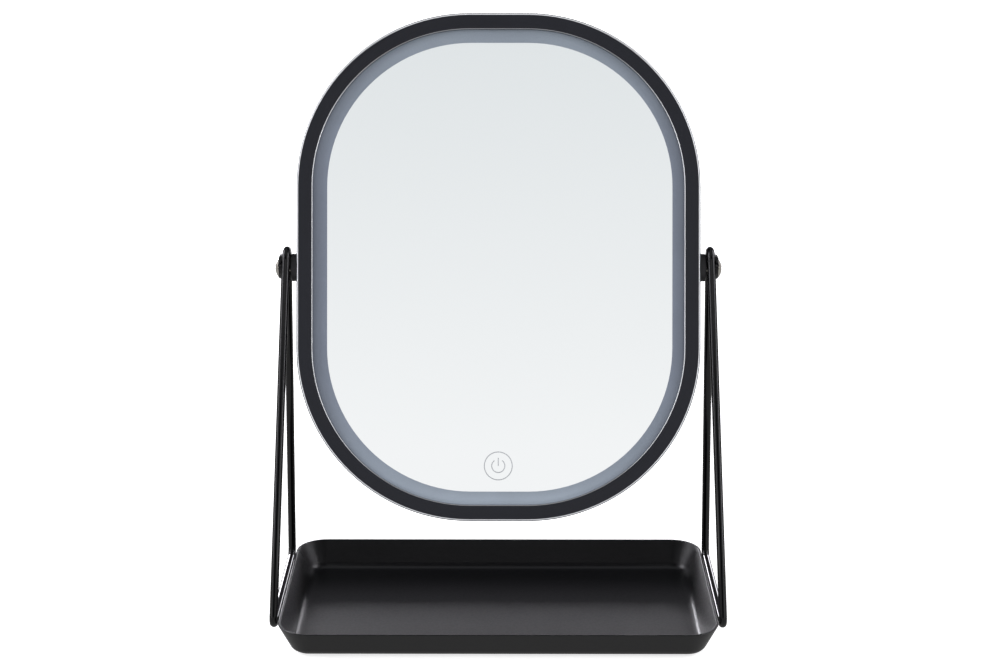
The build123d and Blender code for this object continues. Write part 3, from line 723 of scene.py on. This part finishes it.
class VANITY_OT_weld_beads(bpy.types.Operator):
    """Lay short rippled welds between the wire frames and the tray, and at the pivot plates"""

    bl_idname = "vanity.weld_beads"
    bl_label = "Weld beads"

    def execute(self, context):
        sizes, colours = context.scene.vanity_sizes, context.scene.vanity_colours
        tree, given = node_group(
            "rippled_weld",
            [
                ("Ripple", "NodeSocketFloat"),
                ("Pitch", "NodeSocketFloat"),
                ("Seed", "NodeSocketInt"),
                ("Material", "NodeSocketMaterial"),
            ],
        )
        line = add_node(tree, "GeometryNodeMeshToCurve", {"Mesh": given["Geometry"]})
        stops = add_node(
            tree,
            "GeometryNodeResampleCurve",
            {"Curve": line.outputs[0], "Length": given["Pitch"]},
            mode="LENGTH",
        )
        ripple = add_node(tree, "GeometryNodeMeshIcoSphere", {"Radius": given["Ripple"], "Subdivisions": 2})
        growth = add_node(
            tree,
            "FunctionNodeRandomValue",
            {2: 0.85, 3: 1.12, "Seed": given["Seed"]},
            data_type="FLOAT",
        )
        placed = add_node(
            tree,
            "GeometryNodeInstanceOnPoints",
            {"Points": stops.outputs[0], "Instance": ripple.outputs[0], "Scale": growth.outputs[1]},
        )
        real = add_node(tree, "GeometryNodeRealizeInstances", {0: placed.outputs[0]})
        smooth = add_node(tree, "GeometryNodeSetShadeSmooth", {0: real.outputs[0]})
        finish = add_node(
            tree, "GeometryNodeSetMaterial", {0: smooth.outputs[0], "Material": given["Material"]}
        )
        add_node(tree, "NodeGroupOutput", {"Geometry": finish.outputs[0]})
        corners, edges = [], []
        # in the narrow gap between the rail and the sloping wall of the tray
        stitch_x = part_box("tray")[1].x - 0.4 * MM
        stitch_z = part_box("wire_frame_right")[0].z + 1.1 * MM
        stitch_apart = 30 * MM
        # on the plate's two upright edges, against the legs
        plate_low, plate_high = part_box("pivot_plate_right")
        seam_x = plate_low.x - 0.2 * MM
        seam_low = PIVOT.z - 2.2 * MM
        seam_high = PIVOT.z + 2.6 * MM
        for side in (-1, 1):
            for middle in (-stitch_apart, 0.0, stitch_apart):
                edges.append((len(corners), len(corners) + 1))
                corners.append((side * stitch_x, middle - sizes.stitch / 2, stitch_z))
                corners.append((side * stitch_x, middle + sizes.stitch / 2, stitch_z))
            for y in (plate_low.y + 0.9 * MM, plate_high.y - 0.9 * MM):
                edges.append((len(corners), len(corners) + 1))
                corners.append((side * seam_x, y, seam_low))
                corners.append((side * seam_x, y, seam_high))
        # the stoved enamel runs over the welds too: black, but duller on the ripples
        enamel = grained("enamelled_weld", colours.wire, rough=0.24, grain=0.6 * MM, relief=0.012 * MM)
        # the ripples stand a little more than their radius apart, so that they run together
        pitch = sizes.bead * 1.1
        values = {"Ripple": sizes.bead, "Pitch": pitch, "Seed": 7, "Material": enamel}
        welds = run_group("weld_beads", tree, corners, edges, values)
        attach(welds, "stand")
        return {"FINISHED"}


class VANITY_OT_head_finishes(bpy.types.Operator):
    """Finish the bezel, rear cover, door, screws and spacers"""

    bl_idname = "vanity.head_finishes"
    bl_label = "Head finishes"

    def execute(self, context):
        sizes, colours = context.scene.vanity_sizes, context.scene.vanity_colours
        dress(moulded_bezel(colours, sizes), "front_frame")
        # injection-moulded ABS from a spark-eroded mould: matte, pebbled, drawn 0.8 mm coarse
        textured = grained("spark_eroded_abs", colours.cover, rough=0.5, grain=0.8 * MM, relief=0.035 * MM)
        dress(textured, "rear_cover", "battery_door")
        nickel = turned_metal("turned_nickel", colours.nickel, rough=0.17, ridge=0.35 * MM)
        dress(nickel, "pivot_screw_right", "pivot_screw_left")
        # turned nylon: matte black
        nylon = grained("turned_nylon", linear("#151517"), rough=0.48, grain=0.5 * MM, relief=0.015 * MM)
        dress(nylon, "pivot_spacer_right", "pivot_spacer_left")
        # blackened steel: dark grey metal with a slightly oily gleam
        black_steel = grained(
            "blackened_steel", linear("#3A3B3D"),
            rough=0.34, grain=0.5 * MM, relief=0.006 * MM, metallic=1.0,
        )
        dress(black_steel, "cover_screws")
        return {"FINISHED"}


class VANITY_OT_inner_finishes(bpy.types.Operator):
    """Finish what lies inside the head: light ring, pan, board, cells, contacts and leads"""

    bl_idname = "vanity.inner_finishes"
    bl_label = "Inner finishes"

    def execute(self, context):
        # sprayed silver, seen from behind: a bright metal film
        silver = grained(
            "silver_film", linear("#D9DCDC"),
            rough=0.2, grain=2 * MM, relief=0.002 * MM, metallic=1.0,
        )
        # moulded opal polycarbonate: smooth and milky
        opal = grained(
            "opal_polycarbonate", linear("#E4E6E6"),
            rough=0.35, grain=3 * MM, relief=0.004 * MM, uneven=0.03,
        )
        # glass-fibre board under printed white solder mask: white, with a faint weave
        white_board = grained(
            "white_solder_mask", linear("#DEDFDC"),
            rough=0.4, grain=0.6 * MM, relief=0.006 * MM, uneven=0.04,
        )
        # moulded diodes with phosphor: dull yellow
        phosphor = grained(
            "diode_phosphor", linear("#D9C56A"),
            rough=0.5, grain=0.3 * MM, relief=0.01 * MM,
        )
        # moulded polystyrene: white with a soft gloss
        pan = grained(
            "white_polystyrene", linear("#CFD1D0"),
            rough=0.45, grain=1.5 * MM, relief=0.01 * MM, uneven=0.05,
        )
        # cut closed-cell foam: dull dark grey, with cells 0.6 mm across
        foam = grained(
            "closed_cell_foam", linear("#4A4C50"),
            rough=0.9, grain=0.6 * MM, relief=0.12 * MM, uneven=0.2,
        )
        # glass-fibre board under printed green solder mask: green, with a faint weave
        green_board = grained(
            "green_solder_mask", linear("#1F5138"),
            rough=0.35, grain=0.6 * MM, relief=0.006 * MM,
        )
        # moulded epoxy: nearly black and dull
        epoxy = grained("moulded_epoxy", linear("#232426"), rough=0.55, grain=0.4 * MM, relief=0.01 * MM)
        # nickel-plated spring steel: bright and slightly warm
        strip = grained(
            "nickel_strip", linear("#C9C8C2"),
            rough=0.25, grain=0.9 * MM, relief=0.004 * MM, metallic=1.0,
        )
        # extruded PVC insulation: red with a soft sheen
        red = grained("red_insulation", linear("#8E1A1C"), rough=0.45, grain=1.2 * MM, relief=0.006 * MM)
        # turned brass: bright yellow metal
        brass = grained(
            "turned_brass", linear("#C9A659"),
            rough=0.28, grain=0.5 * MM, relief=0.005 * MM, metallic=1.0,
        )
        # lacquered steel cell can: smooth grey with a metallic gleam
        jacket = grained(
            "lacquered_jacket", linear("#6E747A"),
            rough=0.3, grain=1.6 * MM, relief=0.004 * MM, metallic=1.0,
        )
        dress(silver, "mirror_silvering")
        dress(opal, "diffuser_ring")
        dress(white_board, "led_board")
        dress(phosphor, "leds")
        dress(pan, "reflector_tray")
        dress(foam, "foam_pads")
        dress(green_board, "control_board")
        dress(epoxy, "board_components")
        dress(strip, "contact_plates", "contact_springs", "touch_spring")
        dress(red, "battery_leads", "led_leads")
        dress(brass, "pivot_insert_right", "pivot_insert_left")
        dress(jacket, *(f"battery_cell_{number}" for number in range(1, 5)))
        return {"FINISHED"}


class VANITY_OT_stage(bpy.types.Operator):
    """Set the pale floor, the soft studio lamps and the camera"""

    bl_idname = "vanity.stage"
    bl_label = "Studio stage"

    def execute(self, context):
        scene = context.scene
        # the floor goes out this many metres each way, past what any view shows
        half = 9
        corners = [(-half, -half, 0), (half, -half, 0), (half, half, 0), (-half, half, 0)]
        floor = new_object("floor", mesh_from("floor", corners, [(0, 1, 2, 3)]), self.floor_material())
        self.world(scene)
        # two large boxes above on the sides light the object softly
        above = {"aim_z": 0.15, "wide": 0.9, "tall": 0.9}
        self.lamp("left_box", (-1.15, 0.25, 0.95), radiance=4.0, **above)
        self.lamp("right_box", (1.15, 0.25, 0.95), radiance=3.0, **above)
        # low lamps behind grade the tray's floor; each low box lights the side wall opposite to it
        low = {"aim_z": 0.05, "wide": 0.5, "tall": 0.26}
        self.lamp("back_left_box", (-0.52, 1.1, 0.17), radiance=13.0, **low)
        self.lamp("back_right_box", (0.52, 1.1, 0.17), radiance=3.5, **low)
        self.lamp("back_strip", (0.0, 1.15, 0.25), aim_z=0.05, wide=1.5, tall=0.1, radiance=5.5)
        # upright strips draw fine lines on the wires
        strip = {"aim_z": 0.17, "wide": 0.12, "tall": 1.0, "radiance": 9.0}
        self.lamp("left_strip", (-1.1, -0.45, 0.42), **strip)
        self.lamp("right_strip", (1.1, -0.45, 0.42), **strip)
        eye = bpy.data.cameras.new("camera")
        eye.lens = LENS_MM
        eye.sensor_width = 36.0
        eye.shift_x = LENS_SHIFT
        camera = bpy.data.objects.new("camera", eye)
        camera.location = CAMERA_AT
        camera.rotation_euler = (math.radians(90 - CAMERA_DOWN), 0.0, math.radians(CAMERA_LEFT))
        scene.collection.objects.link(camera)
        scene.camera = camera
        scene.view_settings.view_transform = "Standard"
        return {"FINISHED"}

    def floor_material(self):
        """White studio paper, lit evenly to the picture's white, that keeps a soft shadow. In
        reflections it is a plain grey, as paper under soft light, with two wedges of painted glow that
        stand in for lamps."""
        material, tree, place = new_material("white_paper")
        fibre = 2.5 * MM
        grain = add_node(tree, "ShaderNodeTexNoise", {"Vector": place, "Scale": 1 / fibre, "Detail": 2.0})
        shades = {0: grain.outputs["Fac"], 6: shade(linear("#E7E7E7"), 1), 7: shade(linear("#EAEAEA"), 1)}
        tint = add_node(tree, "ShaderNodeMix", shades, **MIX_COLOUR).outputs[2]
        matte = add_node(tree, "ShaderNodeBsdfDiffuse", {"Color": tint})
        path = add_node(tree, "ShaderNodeLightPath").outputs
        # what the camera sees is lifted to white
        lift = add_node(
            tree, "ShaderNodeMath", {0: path["Is Camera Ray"], 1: 0.72}, operation="MULTIPLY"
        )
        glow = add_node(tree, "ShaderNodeEmission", {"Strength": lift.outputs[0]})
        seen = add_node(tree, "ShaderNodeAddShader", {0: matte.outputs[0], 1: glow.outputs[0]})
        parts = add_node(tree, "ShaderNodeSeparateXYZ", {0: place}).outputs
        # painted glow: two wedges of the paper, in two directions in degrees from +X, glow in reflections
        # like lamps and draw fine lines on the wires; they begin far enough out not to show in the tray's
        # walls
        brightness = 0.42
        far = add_node(tree, "ShaderNodeVectorMath", {0: place}, operation="LENGTH").outputs["Value"]
        outside = add_node(
            tree, "ShaderNodeMapRange", {0: far, 1: 0.2, 2: 0.3, 3: 0.0, 4: 2.2}, **SMOOTH
        ).outputs[0]
        turn = add_node(tree, "ShaderNodeMath", {0: parts["Y"], 1: parts["X"]}, operation="ARCTAN2")
        for direction in (-36, -144):
            off = add_node(
                tree,
                "ShaderNodeMath",
                {0: turn.outputs[0], 1: math.radians(direction)},
                operation="SUBTRACT",
            )
            off = add_node(tree, "ShaderNodeMath", {0: off.outputs[0]}, operation="ABSOLUTE")
            wedge = {0: off.outputs[0], 1: math.radians(4), 2: math.radians(10), 3: 1.0, 4: 0.0}
            near = add_node(tree, "ShaderNodeMapRange", wedge, **SMOOTH).outputs[0]
            # painted glow of this wedge
            painted_glow = add_node(tree, "ShaderNodeMath", {0: near, 1: outside}, operation="MULTIPLY")
            brightness = add_node(
                tree, "ShaderNodeMath", {0: brightness, 1: painted_glow.outputs[0]}, operation="MAXIMUM"
            ).outputs[0]
        mirrored = add_node(tree, "ShaderNodeEmission", {"Strength": brightness})
        shiny = add_node(
            tree,
            "ShaderNodeMath",
            {0: path["Is Glossy Ray"], 1: path["Is Transmission Ray"]},
            operation="MAXIMUM",
        )
        both = add_node(
            tree, "ShaderNodeMixShader", {0: shiny.outputs[0], 1: seen.outputs[0], 2: mirrored.outputs[0]}
        )
        add_node(tree, "ShaderNodeOutputMaterial", {"Surface": both.outputs[0]})
        return material

    def world(self, scene):
        """White behind the object. In reflections: a white card in front that the mirror shows,
        dark flags round it, pale screens at the sides, and a tent behind that is white low down and
        dimmer on the right."""
        world = bpy.data.worlds.new("studio")
        world.use_nodes = True
        scene.world = world
        tree = world.node_tree
        tree.nodes.clear()
        way = add_node(tree, "ShaderNodeTexCoord").outputs["Generated"]
        parts = add_node(tree, "ShaderNodeSeparateXYZ", {0: way}).outputs
        # the tones of the card and of the tent, by height from the horizon at 0 to overhead at 1
        card = add_node(tree, "ShaderNodeValToRGB", {0: parts["Z"]})
        card_tones = {
            0.16: "#1A1B1C",
            0.2: "#FEFCFE",
            0.226: "#FEFCFE",
            0.417: "#EBECEF",
            0.43: "#E6E7EA",
            0.445: "#0C0C0D",
            0.68: "#161617",
            0.84: "#C4C7CA",
            1.0: "#E0E2E4",
        }
        tent = add_node(tree, "ShaderNodeValToRGB", {0: parts["Z"]})
        tent_tones = {0.22: "#FCFAFF", 0.3: "#A09FA6", 0.4: "#68676D", 0.6: "#4C4C50", 1.0: "#A0A3A6"}
        for ramp, tones in ((card, card_tones), (tent, tent_tones)):
            marks = ramp.color_ramp.elements
            marks.remove(marks[1])
            for number, (height, code) in enumerate(tones.items()):
                mark = marks[0] if number == 0 else marks.new(height)
                mark.position = height
                mark.color = shade(linear(code), 1)
        # the card is narrow, with a dark flag and then a pale screen on each side
        aside = add_node(tree, "ShaderNodeMath", {0: parts["X"]}, operation="ABSOLUTE").outputs[0]
        narrow = add_node(
            tree, "ShaderNodeMapRange", {0: aside, 1: 0.11, 2: 0.17, 3: 1.0, 4: 0.08}, **SMOOTH
        ).outputs[0]
        card = add_node(
            tree, "ShaderNodeVectorMath", {0: card.outputs[0], "Scale": narrow}, operation="SCALE"
        )
        sides = add_node(tree, "ShaderNodeMapRange", {0: aside, 1: 0.24, 2: 0.42}, **SMOOTH).outputs[0]
        screened = {0: sides, 6: card.outputs[0], 7: shade(linear("#BCBDC0"), 1)}
        front = add_node(tree, "ShaderNodeMix", screened, **MIX_COLOUR).outputs[2]
        # the tent is dimmer on the right
        dimmer = add_node(
            tree, "ShaderNodeMapRange", {0: parts["X"], 1: 0.05, 2: 0.4, 3: 1.0, 4: 0.5}, **SMOOTH
        ).outputs[0]
        tent = add_node(
            tree, "ShaderNodeVectorMath", {0: tent.outputs[0], "Scale": dimmer}, operation="SCALE"
        )
        behind = add_node(
            tree, "ShaderNodeMapRange", {0: parts["Y"], 1: -0.3, 2: 0.1}, **SMOOTH
        ).outputs[0]
        joined = {0: behind, 6: front, 7: tent.outputs[0]}
        round_about = add_node(tree, "ShaderNodeMix", joined, **MIX_COLOUR).outputs[2]
        # reflections show the studio, the camera sees white, and matt surfaces get a dimmer white
        path = add_node(tree, "ShaderNodeLightPath").outputs
        shown = add_node(tree, "ShaderNodeBackground", {"Color": round_about, "Strength": 1.0})
        soft = add_node(tree, "ShaderNodeBackground", {"Color": (1, 1, 1, 1), "Strength": 0.7})
        white = add_node(tree, "ShaderNodeBackground", {"Color": (1, 1, 1, 1), "Strength": 1.0})
        shiny = add_node(
            tree,
            "ShaderNodeMath",
            {0: path["Is Glossy Ray"], 1: path["Is Transmission Ray"]},
            operation="MAXIMUM",
        )
        inner = add_node(
            tree, "ShaderNodeMixShader", {0: shiny.outputs[0], 1: soft.outputs[0], 2: shown.outputs[0]}
        )
        outer = add_node(
            tree,
            "ShaderNodeMixShader",
            {0: path["Is Camera Ray"], 1: inner.outputs[0], 2: white.outputs[0]},
        )
        add_node(tree, "ShaderNodeOutputWorld", {0: outer.outputs[0]})

    def lamp(self, name, place, aim_z, wide, tall, radiance):
        """A soft box of this size and radiance, turned to a point this high over the origin."""
        light = bpy.data.lights.new(name, "AREA")
        light.shape = "RECTANGLE"
        light.size, light.size_y = wide, tall
        light.color = linear("#FAF8FF")
        light.energy = radiance * wide * tall * math.pi
        made = bpy.data.objects.new(name, light)
        made.location = place
        aim = Vector((0.0, 0.0, aim_z)) - Vector(place)
        made.rotation_euler = aim.to_track_quat("-Z", "Y").to_euler()
        made.visible_camera = False
        bpy.context.scene.collection.objects.link(made)


class VANITY_PT_panel(bpy.types.Panel):
    """The vanity mirror's pieces and their sizes and colours"""

    bl_idname = "VANITY_PT_panel"
    bl_label = "Vanity mirror"
    bl_space_type = "VIEW_3D"
    bl_region_type = "UI"
    bl_category = "Vanity mirror"

    def draw(self, context):
        for step in STEPS:
            self.layout.operator(step.bl_idname)
        for group in (context.scene.vanity_sizes, context.scene.vanity_colours):
            box = self.layout.box()
            for name in group.__annotations__:
                box.prop(group, name)


STEPS = (
    VANITY_OT_mirror_glass,
    VANITY_OT_touch_mark,
    VANITY_OT_stand_finishes,
    VANITY_OT_weld_beads,
    VANITY_OT_head_finishes,
    VANITY_OT_inner_finishes,
    VANITY_OT_stage,
)
CLASSES = (VanitySizes, VanityColours, *STEPS, VANITY_PT_panel)


def register():
    for kind in CLASSES:
        bpy.utils.register_class(kind)
    bpy.types.Scene.vanity_sizes = bpy.props.PointerProperty(type=VanitySizes)
    bpy.types.Scene.vanity_colours = bpy.props.PointerProperty(type=VanityColours)


def unregister():
    del bpy.types.Scene.vanity_colours
    del bpy.types.Scene.vanity_sizes
    for kind in reversed(CLASSES):
        bpy.utils.unregister_class(kind)


def main():
    """Make every piece and the stage."""
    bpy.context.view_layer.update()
    register()
    bpy.ops.vanity.mirror_glass()
    bpy.ops.vanity.touch_mark()
    bpy.ops.vanity.stand_finishes()
    bpy.ops.vanity.weld_beads()
    bpy.ops.vanity.head_finishes()
    bpy.ops.vanity.inner_finishes()
    bpy.ops.vanity.stage()


if __name__ == "__main__":
    main()
